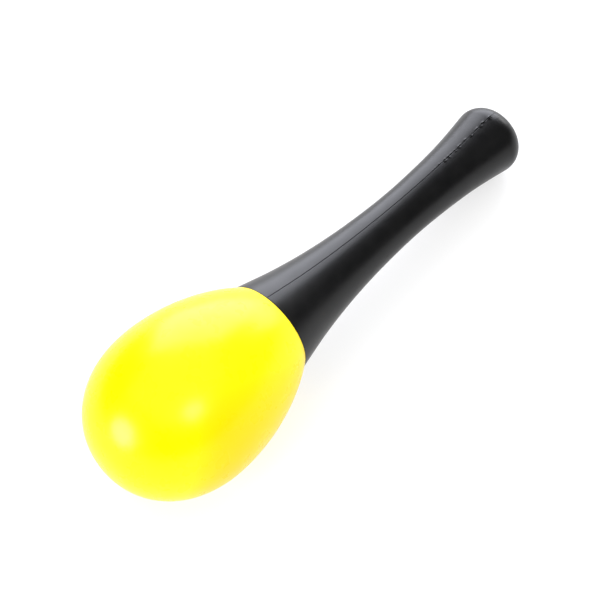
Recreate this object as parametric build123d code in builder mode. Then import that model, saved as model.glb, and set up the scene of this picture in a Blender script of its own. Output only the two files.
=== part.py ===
"""Egg-headed hand shaker: a seamless egg on a two-part handle, lying on its side.

The egg is a small bottle. Loose pellets go in through its neck, a plug closes
the neck, and the two handle halves close around the neck and its bead.

Profiles are drawn in the parting plane, which is the plane y = 0: local x runs
along the object's axis from the egg's blunt end (0) to the butt, and local y is
the distance from the axis. The axis is tipped down toward the butt, so that the
egg's side and the butt's edge both touch z = 0. Millimetres, +Z up.
"""

import os
from math import asin, cos, degrees, radians, sin

from build123d import *

# Egg
EGG_RADIUS = 22.5
EGG_FRONT = 25.9  # blunt end to the widest circle
EGG_REAR = 39.8  # widest circle to where the narrow end would close
FRONT_FULLNESS = (0.587, 0.596)  # handles of the front quarter curve
REAR_FULLNESS = (0.488, 0.489)  # handles of the rear quarter curve
EGG_WALL = 1.6

# Neck, its bead and its plug
NECK_RADIUS = 6.2
NECK_BORE = 4.6
NECK_START = 60.0
NECK_END = 74.0
BEAD_X = 69.0
BEAD_RADIUS = 1.3
PLUG_DEPTH = 8.0
PLUG_WALL = 1.2
PLUG_CAP = 1.5
PLUG_CHAMFER = 0.5

# Handle
RIM_X = 56.25  # where the handle's mouth sits on the egg
RIM_LIP = 0.15  # thickness of the rim's edge
RIM_SLOPE = -12.4
# Side of the handle: distance along the axis, radius
STATIONS = ((68.0, 10.83), (82.0, 8.62), (95.0, 7.44), (107.7, 6.94), (118.0, 7.1), (129.8, 7.79))
BUTT_START = (145.2, 9.8)
BUTT_SLOPE = 8.6
BUTT_CORNER = 5.5
CROWN_RADIUS = 13.6
HANDLE_WALL = 2.0
SEAT_GAP = 0.02  # egg and neck to handle

# Inside the handle
COLLAR_END = 72.0  # the collar around the neck ends here
BEAD_GROOVE = 0.2  # room around the bead
KEY_WIDTH = 2.0
KEY_DEPTH = 1.0
PIN_STATIONS = (86.0, 111.0, 136.0)
PIN_RADIUS = 1.2
PIN_LENGTH = 3.0
PIN_GAP = 0.05
POST_RADIUS = 2.4
RIB_STATIONS = (98.0, 124.0)
RIB_WIDTH = 1.2
RIB_BORE = 2.5

# Pellets
PELLET_RADIUS = 1.6
PELLET_ROWS = (4, 5, 6, 5, 4)
PELLET_GAP = 0.12  # to the wall and to each other


def egg_curve(inset=0.0):
    """Quarter curves of the egg from its blunt end to its closed narrow end."""
    radius = EGG_RADIUS - inset
    front = EGG_FRONT - inset
    rear = EGG_REAR - inset
    widest = (EGG_FRONT, radius)
    blunt = (inset, 0)
    narrow = (EGG_FRONT + rear, 0)
    blunt_handle = (inset, radius * FRONT_FULLNESS[0])
    front_handle = (EGG_FRONT - front * FRONT_FULLNESS[1], radius)
    rear_handle = (EGG_FRONT + rear * REAR_FULLNESS[0], radius)
    narrow_handle = (EGG_FRONT + rear, radius * REAR_FULLNESS[1])
    front_quarter = Bezier(blunt, blunt_handle, front_handle, widest)
    rear_quarter = Bezier(widest, rear_handle, narrow_handle, narrow)
    return front_quarter, rear_quarter


def egg_radius_at(x):
    """Radius of the egg's rear quarter at a distance along the axis."""
    with BuildLine() as curve:
        egg_curve()
    upright = Edge.make_line((x, 0), (x, EGG_RADIUS))
    return curve.edges().sort_by(Axis.X)[-1].distance_to_with_closest_points(upright)[1].Y


def butt_curve(inset=0.0):
    """Rounded end of the handle: a corner arc and a crown arc that ends on the axis."""
    slope = radians(BUTT_SLOPE)
    start = (BUTT_START[0] + inset * sin(slope), BUTT_START[1] - inset * cos(slope))
    centre_height = BUTT_START[1] - BUTT_CORNER * cos(slope)
    crown_angle = degrees(asin(centre_height / (CROWN_RADIUS - BUTT_CORNER)))
    corner_turn = 90 + BUTT_SLOPE - crown_angle
    corner = JernArc(start, (cos(slope), sin(slope)), BUTT_CORNER - inset, -corner_turn)
    crown = JernArc(corner @ 1, corner % 1, CROWN_RADIUS - inset, -crown_angle)
    return start, crown


def handle_curve(inset=0.0):
    """Waisted side of the handle from its rim to the butt, and the butt."""
    butt_start, crown = butt_curve(inset)
    rim = (RIM_X, RIM_RADIUS + RIM_LIP - inset)
    waist = [(x, radius - inset) for x, radius in STATIONS]
    rim_tangent = (cos(radians(RIM_SLOPE)), sin(radians(RIM_SLOPE)))
    butt_tangent = (cos(radians(BUTT_SLOPE)), sin(radians(BUTT_SLOPE)))
    Spline(rim, *waist, butt_start, tangents=(rim_tangent, butt_tangent))
    return crown @ 1


def axis_plane(angle, origin=(0, 0, 0)):
    """Parting plane with its x tipped down by the angle and its y toward the table."""
    along = (cos(radians(angle)), 0, -sin(radians(angle)))
    return Plane(origin, x_dir=along, z_dir=(0, 1, 0))


def lying_plane():
    """Parting plane placed so that the object lies on z = 0, centred on the origin."""
    low, high = 0.0, 15.0
    while high - low > 1e-7:
        angle = (low + high) / 2
        with BuildLine(axis_plane(angle)) as egg:
            egg_curve()
        with BuildLine(axis_plane(angle)) as butt:
            butt_curve()
        if egg.line.bounding_box().min.Z < butt.line.bounding_box().min.Z:
            low = angle
        else:
            high = angle
    crown_reach = CROWN_RADIUS * (1 - cos(radians(angle)))
    front = egg.line.bounding_box().min.X
    back = butt.line.bounding_box().max.X + crown_reach
    floor = egg.line.bounding_box().min.Z
    return axis_plane(angle, (-(front + back) / 2, 0, -floor)), angle


PROFILE, TIP_ANGLE = lying_plane()
EGG_AXIS = Axis(PROFILE.origin, PROFILE.x_dir)
RIM_RADIUS = egg_radius_at(RIM_X)


def turned_profile(angle):
    """Profile plane turned about the object's axis."""
    normal = PROFILE.z_dir.rotate(EGG_AXIS, angle)
    return Plane(PROFILE.origin, x_dir=PROFILE.x_dir, z_dir=normal)


def block(x_start, x_end, y_start, y_end, mode=Mode.ADD):
    """Rectangle of the section, given by its ends along and away from the axis."""
    with Locations(((x_start + x_end) / 2, (y_start + y_end) / 2)):
        Rectangle(x_end - x_start, y_end - y_start, mode=mode)


def egg_face(inset=0.0, mode=Mode.ADD):
    """Half section of the egg, closed along the axis."""
    with BuildLine() as outline:
        front, rear = egg_curve(inset)
        Line(rear @ 1, front @ 0)
    make_face(outline.edges(), mode=mode)


def handle_face(inset=0.0, mode=Mode.ADD):
    """Half section of the handle, or of its inside, closed along the axis."""
    with BuildLine() as outline:
        tip = handle_curve(inset)
        Polyline((RIM_X, RIM_RADIUS + RIM_LIP - inset), (RIM_X, 0), tip)
    make_face(outline.edges(), mode=mode)


def key_slots(width, depth):
    """Cut a slot into each side of the bead, or of the groove around it."""
    middle = PROFILE.from_local_coords((BEAD_X, 0, 0))
    bead_top = NECK_RADIUS + BEAD_RADIUS
    with BuildSketch(Plane(middle, x_dir=(0, 1, 0), z_dir=PROFILE.x_dir)) as slots:
        with Locations((bead_top, 0), (-bead_top, 0)):
            Rectangle(2 * depth, width)
    extrude(slots.sketch, amount=2 * BEAD_RADIUS, both=True, mode=Mode.SUBTRACT)


def build_egg():
    """Egg bottle with its neck, and the bead that the handle closes around."""
    with BuildPart() as egg_shell:
        with BuildSketch(PROFILE):
            egg_face()
            block(NECK_START, NECK_END, 0, NECK_RADIUS)
            with Locations((BEAD_X, NECK_RADIUS)):
                Circle(BEAD_RADIUS)
            egg_face(EGG_WALL, Mode.SUBTRACT)
            block(NECK_START - EGG_WALL, NECK_END, 0, NECK_BORE, Mode.SUBTRACT)
        revolve(axis=EGG_AXIS)
        key_slots(KEY_WIDTH + 2 * BEAD_GROOVE, KEY_DEPTH)
    egg_shell.part.label = "egg_shell"
    return egg_shell


def build_plug():
    """Cup-shaped plug pressed into the neck, with a cap that covers its end."""
    with BuildPart() as neck_plug:
        with BuildSketch(PROFILE):
            block(NECK_END - PLUG_DEPTH, NECK_END, 0, NECK_BORE - SEAT_GAP)
            chamfer(vertices().sort_by(Axis.X)[:2].sort_by(Axis.Y)[-1], PLUG_CHAMFER)
            block(NECK_END, NECK_END + PLUG_CAP, 0, NECK_RADIUS)
            block(NECK_END - PLUG_DEPTH + PLUG_WALL, NECK_END + PLUG_CAP, 0,
                  NECK_BORE - PLUG_WALL, Mode.SUBTRACT)
        revolve(axis=EGG_AXIS)
    neck_plug.part.label = "neck_plug"
    return neck_plug


def pin_plane(x):
    """Plane of a locating pin: on the axis, facing the left half."""
    return Plane(PROFILE.from_local_coords((x, 0, 0)), x_dir=PROFILE.x_dir, z_dir=(0, 1, 0))


def build_core():
    """Space inside the closed handle, which leaves its ribs and posts standing."""
    with BuildPart() as core:
        with BuildSketch(PROFILE):
            handle_face(HANDLE_WALL)
            block(0, COLLAR_END, 0, EGG_RADIUS, Mode.SUBTRACT)
            for x in RIB_STATIONS:
                block(x - RIB_WIDTH / 2, x + RIB_WIDTH / 2, RIB_BORE, EGG_RADIUS, Mode.SUBTRACT)
        revolve(axis=EGG_AXIS)
        for x in PIN_STATIONS:
            with BuildSketch(pin_plane(x)):
                Circle(POST_RADIUS)
            extrude(amount=EGG_RADIUS, both=True, mode=Mode.SUBTRACT)
    return core.part


def build_nest():
    """Space that the egg, its neck and its bead take in the handle's collar."""
    with BuildPart() as nest:
        with BuildSketch(PROFILE):
            egg_face(-SEAT_GAP)
            block(NECK_START, COLLAR_END, 0, NECK_RADIUS + SEAT_GAP)
            with Locations((BEAD_X, NECK_RADIUS)):
                Circle(BEAD_RADIUS + BEAD_GROOVE)
        revolve(axis=EGG_AXIS)
        key_slots(KEY_WIDTH, KEY_DEPTH - BEAD_GROOVE)
    return nest.part


def half_wall(side):
    """One half of the handle, up to the parting plane; side is 1 for left, -1 for right."""
    with BuildSketch(PROFILE) as outside:
        handle_face()
    revolve(outside.sketch.faces(), axis=EGG_AXIS, revolution_arc=180 * side)
    add(build_core(), mode=Mode.SUBTRACT)
    add(build_nest(), mode=Mode.SUBTRACT)


def build_left_half():
    """Left handle half, with the locating pins."""
    with BuildPart() as left_half:
        half_wall(1)
        for x in PIN_STATIONS:
            with BuildSketch(pin_plane(x)):
                Circle(PIN_RADIUS)
            extrude(amount=-PIN_LENGTH)
    left_half.part.label = "handle_left_half"
    return left_half


def build_right_half():
    """Right handle half, with the sockets for the pins."""
    with BuildPart() as right_half:
        half_wall(-1)
        for x in PIN_STATIONS:
            with BuildSketch(pin_plane(x)):
                Circle(PIN_RADIUS + PIN_GAP)
            extrude(amount=-PIN_LENGTH - PIN_GAP, mode=Mode.SUBTRACT)
    right_half.part.label = "handle_right_half"
    return right_half


def pellet_centres():
    """Centres of the pellets, side by side in one layer on the lowest part of the egg."""
    pitch = 2 * (PELLET_RADIUS + PELLET_GAP)
    with BuildLine() as centre_line:
        egg_curve(EGG_WALL + PELLET_RADIUS + PELLET_GAP)
    rear = centre_line.edges().sort_by(Axis.X)[-1]
    lowest = rear.find_tangent(360 - TIP_ANGLE)[0] * rear.length
    for row, count in enumerate(PELLET_ROWS):
        along = (row - (len(PELLET_ROWS) - 1) / 2) * pitch * sin(radians(60))
        place = rear.position_at(lowest + along, PositionMode.LENGTH)
        for number in range(count):
            turn = degrees((number - (count - 1) / 2) * pitch / place.Y)
            yield turned_profile(turn).from_local_coords((place.X, place.Y, 0))


def build_pellet(number, centre):
    """One loose pellet."""
    with BuildPart(Plane(centre)) as pellet:
        Sphere(PELLET_RADIUS)
    pellet.part.label = f"pellet_{number:02d}"
    return pellet


def main():
    """Build every piece and write it to its own STEP file."""
    os.makedirs("parts", exist_ok=True)
    pieces = [build_egg(), build_plug(), build_left_half(), build_right_half()]
    for number, centre in enumerate(pellet_centres(), start=1):
        pieces.append(build_pellet(number, centre))
    for piece in pieces:
        export_step(piece.part, f"parts/{piece.part.label}.step")
        print(piece.part.label, round(piece.part.volume, 1))


main()
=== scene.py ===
from math import asin, cos, degrees, pi, radians, sin, tan

import bmesh
import bpy
from mathutils import Matrix, Vector, noise


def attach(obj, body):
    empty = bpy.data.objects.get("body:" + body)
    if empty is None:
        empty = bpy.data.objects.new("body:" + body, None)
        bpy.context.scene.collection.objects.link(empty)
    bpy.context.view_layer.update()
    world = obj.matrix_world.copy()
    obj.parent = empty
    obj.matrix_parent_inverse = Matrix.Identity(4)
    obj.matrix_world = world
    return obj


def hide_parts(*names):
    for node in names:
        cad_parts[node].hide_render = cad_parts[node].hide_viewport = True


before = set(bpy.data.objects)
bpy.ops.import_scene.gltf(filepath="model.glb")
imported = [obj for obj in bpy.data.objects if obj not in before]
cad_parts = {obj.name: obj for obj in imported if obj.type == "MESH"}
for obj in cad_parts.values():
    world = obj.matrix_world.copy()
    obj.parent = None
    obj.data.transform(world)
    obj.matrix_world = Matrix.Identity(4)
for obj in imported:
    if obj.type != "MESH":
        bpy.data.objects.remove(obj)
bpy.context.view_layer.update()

# Egg shaker on a handle. The egg, the plug and the pellets stay as the CAD made them. The two
# halves of the handle are built again here, with the fine detail of their parting line.
# Lengths are in mm up to place(), which gives metres.

MM = 0.001

# The object's own axis, as the CAD model lies: it drops toward the butt.
TIP_ANGLE = radians(6.13)
AXIS_START = Vector((-75.931, 0.0, 25.4296))  # blunt end of the egg
ALONG = Vector((cos(TIP_ANGLE), 0.0, -sin(TIP_ANGLE)))
UPWARD = Vector((sin(TIP_ANGLE), 0.0, cos(TIP_ANGLE)))
LEFTWARD = Vector((0.0, 1.0, 0.0))

# Handle outline: distance along the axis, radius, slope in degrees
STATIONS = ((56.25, 13.49, -12.6), (68.0, 10.83, -11.0), (82.0, 8.62, -6.9), (95.0, 7.44, -3.5),
            (107.7, 6.94, -0.7), (118.0, 7.1, 2.3), (129.8, 7.79, 4.7), (145.2, 9.8, 8.6))
RIM_X = STATIONS[0][0]
RIM_EDGE = 13.42  # radius where the mouth meets the egg
RIM_ROUND = 0.4  # length of the rim's rounded edge
CORNER_RADIUS = 5.5
CROWN_RADIUS = 13.6
WALL = 2.0

# Inside of the handle
EGG_REAR = ((25.9, 22.52), (45.32, 22.52), (65.72, 11.0), (65.72, 0.0))  # curve of the seat
SEAT_FROM = 0.55  # part of that curve that lies ahead of the rim
NECK_HOLE = 6.22
NECK_HOLE_START = 63.6
BEAD_X = 69.0
BEAD_GROOVE = 1.5
COLLAR_END = 72.0
RIB_STATIONS = (98.0, 124.0)
RIB_WIDTH = 1.2
RIB_BORE = 2.5
PIN_STATIONS = (86.0, 111.0, 136.0)
PIN_RADIUS = 1.2
PIN_LENGTH = 3.0
PIN_ROOT = 0.5  # how far a pin starts inside its post
PIN_GAP = 0.05
POST_RADIUS = 2.4
POST_RELIEF = 0.02  # posts stop this far short of the parting plane

# Parting line
GROOVE_WIDTH = 0.1  # in each half
GROOVE_DEPTH = 0.17
GROOVE_WANDER = 0.04
GROOVE_END = 146.4  # past the gate mark the line is all but closed
CLOSED = 0.2
WORN_OVER = 12.0
FLASH_HEIGHT = 0.05
CRUMB_HEIGHT = 0.22
CRUMBS_FROM = 120.0
CRUMBS_OVER = 6.0
NICK_X = 145.6
NICK_LENGTH = 0.9
NICK_HEIGHT = 0.16
NICK_SPREAD = 0.05
RIM_FADE = 0.8  # the line's relief fades out over this length at the rim
POLE_FADE = 1.5  # and inside this radius at the butt

# Columns beside the parting line, in groove widths, and the relief at each of them
NEAR = (0.0, 0.45, 1.0, 1.6, 2.8, 4.2, 6.0)
GROOVE_SHAPE = (-1.0, -0.42, -0.04, 0.0, 0.0, 0.0, 0.0)
BURR_SHAPE = (0.0, 0.15, 1.0, 0.75, 0.2, 0.0, 0.0)
CRUMB_SHAPE = (0.0, 0.0, 0.2, 0.7, 1.0, 0.6, 0.0)
WIDEST_TURN = 0.1  # of one groove width near the pole, radians
SMALLEST_RADIUS = 0.01

# Fineness of the meshes
COLUMNS = 96
OUTSIDE_STEPS = 48
INSIDE_STEPS = 14
CORNER_STEPS = 28
CROWN_STEPS = 24
SEAT_STEPS = 120
BEAD_STEPS = 16
POST_SEGMENTS = 48
SHARP_ANGLE = 35  # degrees

# Camera
AIM = (-0.00585, 0.00175, 0.015)
DISTANCE = 0.4433
AZIMUTH = 42.31
ELEVATION = 57.09
ROLL = -6.3
LENS = 101.8
SENSOR = 36.0

# Stage, metres
FLOOR_REACH = 20.0
WORLD_STRENGTH = 0.02
WHITE = (1.0, 1.0, 1.0)
COOL_WHITE = (0.94, 0.96, 1.05)
# Soft lights: name, azimuth, elevation, distance, width, height, radiance, tint, shape, and
# whether the light shows in reflections
LIGHTS = (
    ("back", 40, 24, 1.2, 1.15, 1.05, 7.6, COOL_WHITE, "RECTANGLE", True),
    ("right", 4, 11, 1.2, 0.42, 0.42, 6.5, WHITE, "RECTANGLE", True),
    ("left", 166, 15, 0.9, 0.46, 0.46, 20.0, WHITE, "ELLIPSE", True),
    ("front", -96, 48, 0.9, 0.26, 0.26, 20.0, WHITE, "ELLIPSE", True),
    ("fill", -50, 22, 1.2, 1.4, 0.8, 0.35, WHITE, "RECTANGLE", False),
    ("top", 0, 89, 1.3, 2.2, 2.2, 1.5, WHITE, "RECTANGLE", False),
)


# Sections of the handle: points of distance along the axis and radius

def place(x, radius, turn, side=1.0):
    """Point of a turned surface, in metres: turn is 0 on top and grows toward the side."""
    out = UPWARD * (radius * cos(turn)) + LEFTWARD * (side * radius * sin(turn))
    return (AXIS_START + ALONG * x + out) * MM


def bezier(points, count, first):
    """Points of a cubic curve from one of its parameters to its end."""
    a, b, c, d = (Vector(p) for p in points)
    found = []
    for step in range(count + 1):
        t = first + (1.0 - first) * step / count
        u = 1 - t
        found.append(a * u**3 + b * (3 * u * u * t) + c * (3 * u * t * t) + d * t**3)
    return found


def hermite(start, end, count):
    """Points between two stations of the outline, each with its own slope."""
    (x0, r0, s0), (x1, r1, s1) = start, end
    span = x1 - x0
    m0, m1 = tan(radians(s0)) * span, tan(radians(s1)) * span
    found = []
    for step in range(count):
        t = step / count
        a = 2 * t**3 - 3 * t * t + 1
        b = t**3 - 2 * t * t + t
        c = -2 * t**3 + 3 * t * t
        d = t**3 - t * t
        found.append(Vector((x0 + span * t, a * r0 + b * m0 + c * r1 + d * m1)))
    return found


def arc(centre, radius, first, last, count):
    """Points of an arc in the section, angles in degrees from the axis direction."""
    found = []
    for step in range(count + 1):
        angle = radians(first + (last - first) * step / count)
        found.append(Vector((centre[0] + radius * cos(angle), centre[1] + radius * sin(angle))))
    return found


def outline(inset=0.0, steps=INSIDE_STEPS):
    """Side of the handle from its rim to the tip of its butt."""
    points = []
    for start, end in zip(STATIONS, STATIONS[1:]):
        points += hermite(start, end, steps)
    points = [Vector((p.x, p.y - inset)) for p in points]
    x, radius, slope = STATIONS[-1]
    tilt = radians(slope)
    centre = (x + CORNER_RADIUS * sin(tilt), radius - CORNER_RADIUS * cos(tilt))
    between = CROWN_RADIUS - CORNER_RADIUS
    lift = asin(centre[1] / between)
    crown = (centre[0] - between * cos(lift), 0.0)
    points += arc(centre, CORNER_RADIUS - inset, 90 + slope, degrees(lift), CORNER_STEPS)
    points += arc(crown, CROWN_RADIUS - inset, degrees(lift), 0.0, CROWN_STEPS)[1:]
    points[-1].y = 0.0
    return points


def outer_section():
    """Outside of the handle, from the thin rounded edge of its rim."""
    points = outline(steps=OUTSIDE_STEPS)
    x, radius = points[0]
    edge = [Vector((x + 0.01, RIM_EDGE + 0.02)), Vector((x + 0.06, radius - 0.02))]
    edge.append(Vector((x + 0.2, radius - 0.03)))
    return edge + [p for p in points if p.x > x + RIM_ROUND]


def inner_section():
    """Inside of the handle: seat on the egg, collar with the bead's groove, wall and ribs."""
    seat = bezier(EGG_REAR, SEAT_STEPS, SEAT_FROM)
    points = [Vector((RIM_X + 0.02, RIM_EDGE))]
    points += [p for p in seat if RIM_X < p.x and p.y > NECK_HOLE + 0.1]
    points.append(Vector((NECK_HOLE_START, NECK_HOLE)))
    points += arc((BEAD_X, NECK_HOLE), BEAD_GROOVE, 180, 0, BEAD_STEPS)
    points.append(Vector((COLLAR_END, NECK_HOLE)))
    wall = [p for p in outline(WALL) if p.x > COLLAR_END]
    points.append(Vector((COLLAR_END, wall[0].y)))
    for x in RIB_STATIONS:
        low, high = x - RIB_WIDTH / 2, x + RIB_WIDTH / 2
        points += [p for p in wall if p.x < low]
        radius = points[-1].y
        rib = ((low, radius), (low, RIB_BORE), (high, RIB_BORE), (high, radius))
        points += [Vector(corner) for corner in rib]
        wall = [p for p in wall if p.x > high]
    return points + wall


# Relief of the parting line: row 0 is the line on top, row 1 the one below

def wander(x, row):
    """Smooth irregular value, about -1 to 1, along the parting line."""
    slow = noise.noise(Vector((x * 0.35, row * 7.3, 1.7)))
    return slow + 0.6 * noise.noise(Vector((x * 1.9, row * 3.1, 8.2)))


def flash(x, row, side):
    """Height of the thin irregular burr beside the top parting line."""
    if row == 1:
        return 0.0
    burr = max(0.0, noise.noise(Vector((x * 1.3, side * 2.2, 4.4))) - 0.12) * 2.2
    grain = 0.5 + 0.5 * noise.noise(Vector((x * 6.0, side * 9.0, 2.0)))
    return min(1.0, burr) * grain * FLASH_HEIGHT


def opening(x, row):
    """How open the parting line is, from 0 to 1: toward the butt it is worn and broken."""
    if row == 1 or x < CRUMBS_FROM:
        return 1.0
    if x > GROOVE_END:
        return CLOSED
    worn = 0.35 + 0.9 * max(0.0, noise.noise(Vector((x * 0.9, 5.1, 3.3))))
    return 1.0 - min(1.0, (x - CRUMBS_FROM) / WORN_OVER) * min(0.8, worn)


def crumb(x, row, side):
    """Height of the small crumbs of flash that are left toward the butt."""
    if row == 1 or x < CRUMBS_FROM or x > GROOVE_END:
        return 0.0
    lump = max(0.0, noise.noise(Vector((x * 1.5, side * 4.0, 9.3))) - 0.22) * 5.0
    return min(1.0, lump) * min(1.0, (x - CRUMBS_FROM) / CRUMBS_OVER) * CRUMB_HEIGHT


def nick(x, row):
    """Strength of the small raised gate mark near the crown, from 0 to 1."""
    return max(0.0, 1.0 - abs(x - NICK_X) / NICK_LENGTH) if row == 0 else 0.0


def row_turns(x, radius, side, row):
    """Turns and lifts of the columns beside one of the two parting lines."""
    shift = GROOVE_WANDER * wander(x, row) * side
    mark = nick(x, row)
    width = GROOVE_WIDTH + shift * 0.8 + NICK_SPREAD * mark
    depth = GROOVE_DEPTH * opening(x, row)
    burr = flash(x, row, side) + NICK_HEIGHT * mark
    lump = crumb(x, row, side)
    turns = [min(step * width / max(radius, SMALLEST_RADIUS), WIDEST_TURN * step) for step in NEAR]
    shapes = zip(GROOVE_SHAPE, BURR_SHAPE, CRUMB_SHAPE)
    lifts = [groove * depth + high * burr + rough * lump for groove, high, rough in shapes]
    return turns, lifts


# Meshes

def half_rows(section, side, grooved):
    """Rows of points of a half turned surface; the last point of the section is its pole."""
    rows = []
    for x, radius in section[:-1]:
        top, top_lift = row_turns(x, radius, side, 0)
        low, low_lift = row_turns(x, radius, side, 1)
        first, last = top[-1], pi - low[-1]
        turns = top + [first + (last - first) * step / COLUMNS for step in range(1, COLUMNS)]
        turns += [pi - turn for turn in reversed(low)]
        lifts = top_lift + [0.0] * (COLUMNS - 1) + low_lift[::-1]
        fade = min(1.0, radius / POLE_FADE, (x - RIM_X) / RIM_FADE) if grooved else 0.0
        rows.append([place(x, radius + lift * fade, turn, side) for turn, lift in zip(turns, lifts)])
    return rows


def skin(mesh, rows, pole, flip):
    """Add a grid of faces and the fan that closes it at its pole."""
    grid = [[mesh.verts.new(p) for p in row] for row in rows]
    tip = mesh.verts.new(pole)
    for row, following in zip(grid, grid[1:]):
        for a, b, c, d in zip(row, row[1:], following[1:], following):
            mesh.faces.new((a, d, c, b) if flip else (a, b, c, d))
    for a, b in zip(grid[-1], grid[-1][1:]):
        mesh.faces.new((a, tip, b) if flip else (a, b, tip))
    return grid, tip


def parting_face(mesh, outer, inner):
    """Flat triangles between the outer and inner edge, taken in order along the axis."""
    i, j = 0, 0
    while i + 1 < len(outer) or j + 1 < len(inner):
        place_out, place_in = outer[i][0], inner[j][0]
        take_outer = j + 1 == len(inner)
        if not take_outer and i + 1 < len(outer):
            ahead = inner[j + 1][0]
            turned_over = (ahead - place_out).cross(place_in - place_out) > 0
            take_outer = turned_over or outer[i + 1][0].x < ahead.x
        if take_outer:
            mesh.faces.new((outer[i][1], outer[i + 1][1], inner[j][1]))
            i += 1
        else:
            mesh.faces.new((outer[i][1], inner[j + 1][1], inner[j][1]))
            j += 1


def link(name, data):
    """New object in the scene."""
    thing = bpy.data.objects.new(name, data)
    bpy.context.scene.collection.objects.link(thing)
    return thing


def link_mesh(name, mesh):
    """New object from a finished bmesh."""
    data = bpy.data.meshes.new(name)
    mesh.to_mesh(data)
    mesh.free()
    return link(name, data)


def half_shell(name, side):
    """Hollow half of the handle, with its groove, burr, gate mark, collar and ribs."""
    outside, inside = outer_section(), inner_section()
    outer_pole, inner_pole = place(*outside[-1], 0.0), place(*inside[-1], 0.0)
    mesh = bmesh.new()
    outer, outer_tip = skin(mesh, half_rows(outside, side, True), outer_pole, side > 0)
    inner, inner_tip = skin(mesh, half_rows(inside, side, False), inner_pole, side < 0)
    for a, b, c, d in zip(outer[0], outer[0][1:], inner[0][1:], inner[0]):
        mesh.faces.new((a, b, c, d) if side > 0 else (a, d, c, b))
    for column in (0, -1):
        outer_edge = list(zip(outside, [row[column] for row in outer] + [outer_tip]))
        inner_edge = list(zip(inside, [row[column] for row in inner] + [inner_tip]))
        parting_face(mesh, outer_edge, inner_edge)
    bmesh.ops.recalc_face_normals(mesh, faces=mesh.faces)
    if mesh.calc_volume(signed=True) < 0:
        bmesh.ops.reverse_faces(mesh, faces=mesh.faces)
    piece = link_mesh(name, mesh)
    piece.data.shade_smooth()
    return piece


def post(x, radius, low, high):
    """Closed cylinder square to the parting plane, from one distance to another, as a tool."""
    mesh = bmesh.new()
    bmesh.ops.create_cone(mesh, cap_ends=True, segments=POST_SEGMENTS, radius1=radius * MM,
                          radius2=radius * MM, depth=(high - low) * MM)
    centre = AXIS_START + ALONG * x + LEFTWARD * ((low + high) / 2)
    turn = Matrix.Rotation(radians(90), 4, "X")
    bmesh.ops.transform(mesh, matrix=Matrix.Translation(centre * MM) @ turn, verts=mesh.verts)
    return link_mesh("post", mesh)


def combine(piece, tool, operation):
    """Apply a boolean to the piece and drop the tool."""
    change = piece.modifiers.new("change", "BOOLEAN")
    change.object = tool
    change.operation = operation
    change.solver = "EXACT"
    graph = bpy.context.evaluated_depsgraph_get()
    data = bpy.data.meshes.new_from_object(piece.evaluated_get(graph))
    piece.modifiers.remove(change)
    piece.data = data
    bpy.data.objects.remove(tool)


def radius_at(x):
    """Radius of the handle's outside at a distance along its axis."""
    return min(outline(), key=lambda p: abs(p.x - x)).y


def add_posts(piece, side):
    """Posts that meet at the parting plane: pins on the left half, sockets in the right."""
    for x in PIN_STATIONS:
        reach = radius_at(x) - WALL / 2
        if side > 0:
            combine(piece, post(x, POST_RADIUS, POST_RELIEF, reach), "UNION")
            combine(piece, post(x, PIN_RADIUS, -PIN_LENGTH, PIN_ROOT), "UNION")
        else:
            combine(piece, post(x, POST_RADIUS, -reach, -POST_RELIEF), "UNION")
            socket = post(x, PIN_RADIUS + PIN_GAP, -PIN_LENGTH - PIN_GAP, PIN_ROOT)
            combine(piece, socket, "DIFFERENCE")
    piece.data.set_sharp_from_angle(angle=radians(SHARP_ANGLE))


# Materials

def new_material(name, colour, roughness, specular, metallic=0.0):
    material = bpy.data.materials.new(name)
    material.use_nodes = True
    shader = material.node_tree.nodes["Principled BSDF"]
    shader.inputs["Base Color"].default_value = (*colour, 1.0)
    shader.inputs["Roughness"].default_value = roughness
    shader.inputs["Specular IOR Level"].default_value = specular
    shader.inputs["Metallic"].default_value = metallic
    return material, material.node_tree, shader


def noise_node(tree, scale, detail=2.0, rough=0.5):
    """Grey noise in object coordinates; scale is per metre."""
    coords = tree.nodes.new("ShaderNodeTexCoord")
    node = tree.nodes.new("ShaderNodeTexNoise")
    node.inputs["Scale"].default_value = scale
    node.inputs["Detail"].default_value = detail
    node.inputs["Roughness"].default_value = rough
    tree.links.new(coords.outputs["Object"], node.inputs["Vector"])
    return node.outputs["Fac"]


def ramp(tree, source, low, high):
    """Map the middle of a noise's range to a range of numbers."""
    node = tree.nodes.new("ShaderNodeMapRange")
    node.inputs["From Min"].default_value = 0.3
    node.inputs["From Max"].default_value = 0.7
    node.inputs["To Min"].default_value = low
    node.inputs["To Max"].default_value = high
    tree.links.new(source, node.inputs["Value"])
    return node.outputs["Result"]


def vary_colour(tree, shader, factor, first, second):
    """Base colour between two colours."""
    node = tree.nodes.new("ShaderNodeMix")
    node.data_type = "RGBA"
    node.inputs["A"].default_value = (*first, 1.0)
    node.inputs["B"].default_value = (*second, 1.0)
    tree.links.new(factor, node.inputs["Factor"])
    tree.links.new(node.outputs["Result"], shader.inputs["Base Color"])


def bump(tree, height, distance, strength, before=None):
    """Bump of a depth in metres, on top of an earlier one."""
    node = tree.nodes.new("ShaderNodeBump")
    node.inputs["Distance"].default_value = distance
    node.inputs["Strength"].default_value = strength
    tree.links.new(height, node.inputs["Height"])
    if before is not None:
        tree.links.new(before, node.inputs["Normal"])
    return node.outputs["Normal"]


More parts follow.
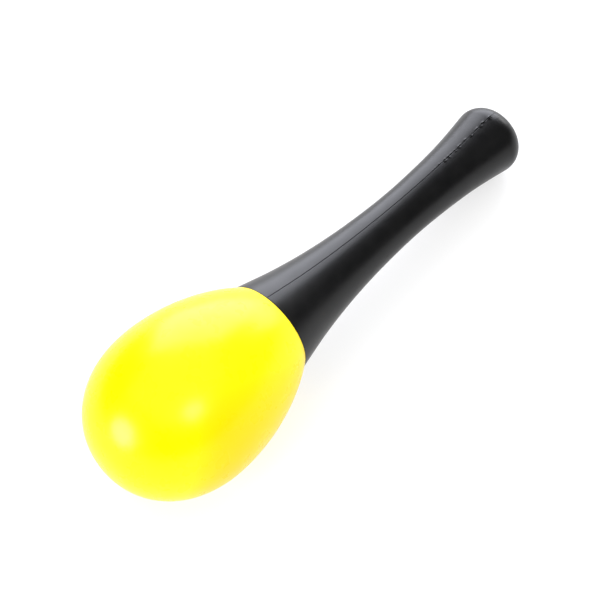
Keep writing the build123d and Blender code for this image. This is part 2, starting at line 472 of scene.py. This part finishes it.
def egg_plastic():
    """Glossy yellow moulding: faint flow in the colour, a soft ripple and a fine skin."""
    material, tree, shader = new_material("egg_plastic", (0.93, 0.68, 0.0), 0.28, 0.18)
    flow = ramp(tree, noise_node(tree, 38.0, 3.0), 0, 1)
    vary_colour(tree, shader, flow, (0.94, 0.69, 0.0), (0.92, 0.71, 0.0))
    gloss = ramp(tree, noise_node(tree, 210.0, 4.0), 0.26, 0.3)
    tree.links.new(gloss, shader.inputs["Roughness"])
    ripple = bump(tree, noise_node(tree, 95.0), 0.00006, 0.35)
    fine = bump(tree, noise_node(tree, 3200.0), 0.000004, 0.3, ripple)
    tree.links.new(fine, shader.inputs["Normal"])
    return material


def handle_plastic():
    """Black satin moulding with a fine spark-eroded grain and faint handling marks."""
    material, tree, shader = new_material("handle_plastic", (0.004, 0.004, 0.0042), 0.34, 0.24)
    wear = ramp(tree, noise_node(tree, 160.0, 5.0, 0.65), 0, 1)
    vary_colour(tree, shader, wear, (0.0034, 0.0034, 0.0036), (0.0048, 0.0047, 0.0047))
    gloss = ramp(tree, noise_node(tree, 320.0, 5.0, 0.6), 0.31, 0.37)
    tree.links.new(gloss, shader.inputs["Roughness"])
    ripple = bump(tree, noise_node(tree, 120.0), 0.00008, 0.4)
    grain = bump(tree, noise_node(tree, 5200.0), 0.000012, 0.5, ripple)
    tree.links.new(grain, shader.inputs["Normal"])
    return material


def plug_plastic():
    """Natural off-white moulding."""
    material, tree, shader = new_material("plug_plastic", (0.8, 0.79, 0.74), 0.45, 0.5)
    cloud = noise_node(tree, 300.0, 3.0)
    vary_colour(tree, shader, cloud, (0.78, 0.77, 0.72), (0.82, 0.81, 0.77))
    gloss = ramp(tree, noise_node(tree, 500.0), 0.4, 0.5)
    tree.links.new(gloss, shader.inputs["Roughness"])
    tree.links.new(bump(tree, noise_node(tree, 4000.0), 0.00001, 0.4), shader.inputs["Normal"])
    return material


def pellet_steel():
    """Tumbled steel shot, scuffed unevenly."""
    material, tree, shader = new_material("pellet_steel", (0.6, 0.6, 0.61), 0.32, 0.5, 1.0)
    scuffs = noise_node(tree, 1500.0, 4.0, 0.7)
    vary_colour(tree, shader, scuffs, (0.5, 0.5, 0.51), (0.68, 0.68, 0.7))
    tree.links.new(ramp(tree, scuffs, 0.22, 0.45), shader.inputs["Roughness"])
    tree.links.new(bump(tree, noise_node(tree, 2600.0, 3.0), 0.00003, 0.5), shader.inputs["Normal"])
    return material


def floor_paper():
    """White paper on a light table."""
    material, tree, shader = new_material("floor_paper", (0.38, 0.38, 0.38), 0.9, 0.2)
    shader.inputs["Emission Color"].default_value = (*WHITE, 1.0)
    shader.inputs["Emission Strength"].default_value = 0.6
    tree.links.new(bump(tree, noise_node(tree, 60.0), 0.0002, 0.1), shader.inputs["Normal"])
    return material


# Stage

def make_camera():
    data = bpy.data.cameras.new("camera")
    data.lens = LENS
    data.sensor_width = SENSOR
    camera = link("camera", data)
    around = Matrix.Rotation(radians(-AZIMUTH), 4, "Z")
    down = Matrix.Rotation(radians(90 - ELEVATION), 4, "X")
    roll = Matrix.Rotation(radians(ROLL), 4, "Z")
    back = Matrix.Translation((0, 0, DISTANCE))
    camera.matrix_world = Matrix.Translation(AIM) @ (around @ down @ roll) @ back
    bpy.context.scene.camera = camera


def softbox(name, azimuth, elevation, distance, width, height, radiance, tint, shape, glossy):
    """Area light that faces the object; its radiance is the same at any size."""
    data = bpy.data.lights.new(name, "AREA")
    data.shape = shape
    data.size = width
    data.size_y = height
    area = width * height * (pi / 4 if shape == "ELLIPSE" else 1.0)
    data.energy = radiance * pi * area
    data.color = tint
    az, el = radians(azimuth), radians(elevation)
    spot = Vector((cos(az) * cos(el), sin(az) * cos(el), sin(el))) * distance
    light = link(name, data)
    light.matrix_world = Matrix.Translation(spot) @ spot.to_track_quat("Z", "Y").to_matrix().to_4x4()
    light.visible_glossy = glossy


def make_floor():
    data = bpy.data.meshes.new("floor")
    corners = [(x * FLOOR_REACH, y * FLOOR_REACH, 0) for x, y in ((-1, -1), (1, -1), (1, 1), (-1, 1))]
    data.from_pydata(corners, [], [(0, 1, 2, 3)])
    data.materials.append(floor_paper())
    link("floor", data)


def make_world():
    world = bpy.data.worlds.new("studio")
    world.use_nodes = True
    background = world.node_tree.nodes["Background"]
    background.inputs["Color"].default_value = (*WHITE, 1.0)
    background.inputs["Strength"].default_value = WORLD_STRENGTH
    bpy.context.scene.world = world
    bpy.context.scene.view_settings.view_transform = "Standard"


def dress(piece, material):
    """Give the piece one material and nothing else."""
    piece.data.materials.clear()
    piece.data.materials.append(material)


make_camera()
make_floor()
for light in LIGHTS:
    softbox(*light)
make_world()
black = handle_plastic()
for node, side in (("handle_left_half", 1.0), ("handle_right_half", -1.0)):
    half = half_shell(node.replace("half", "shell"), side)
    add_posts(half, side)
    dress(half, black)
    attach(half, "shaker")
    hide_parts(node)
steel = pellet_steel()
finishes = {"egg_shell": egg_plastic(), "neck_plug": plug_plastic()}
for name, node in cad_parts.items():
    if not name.startswith("handle"):
        dress(node, finishes.get(name, steel))
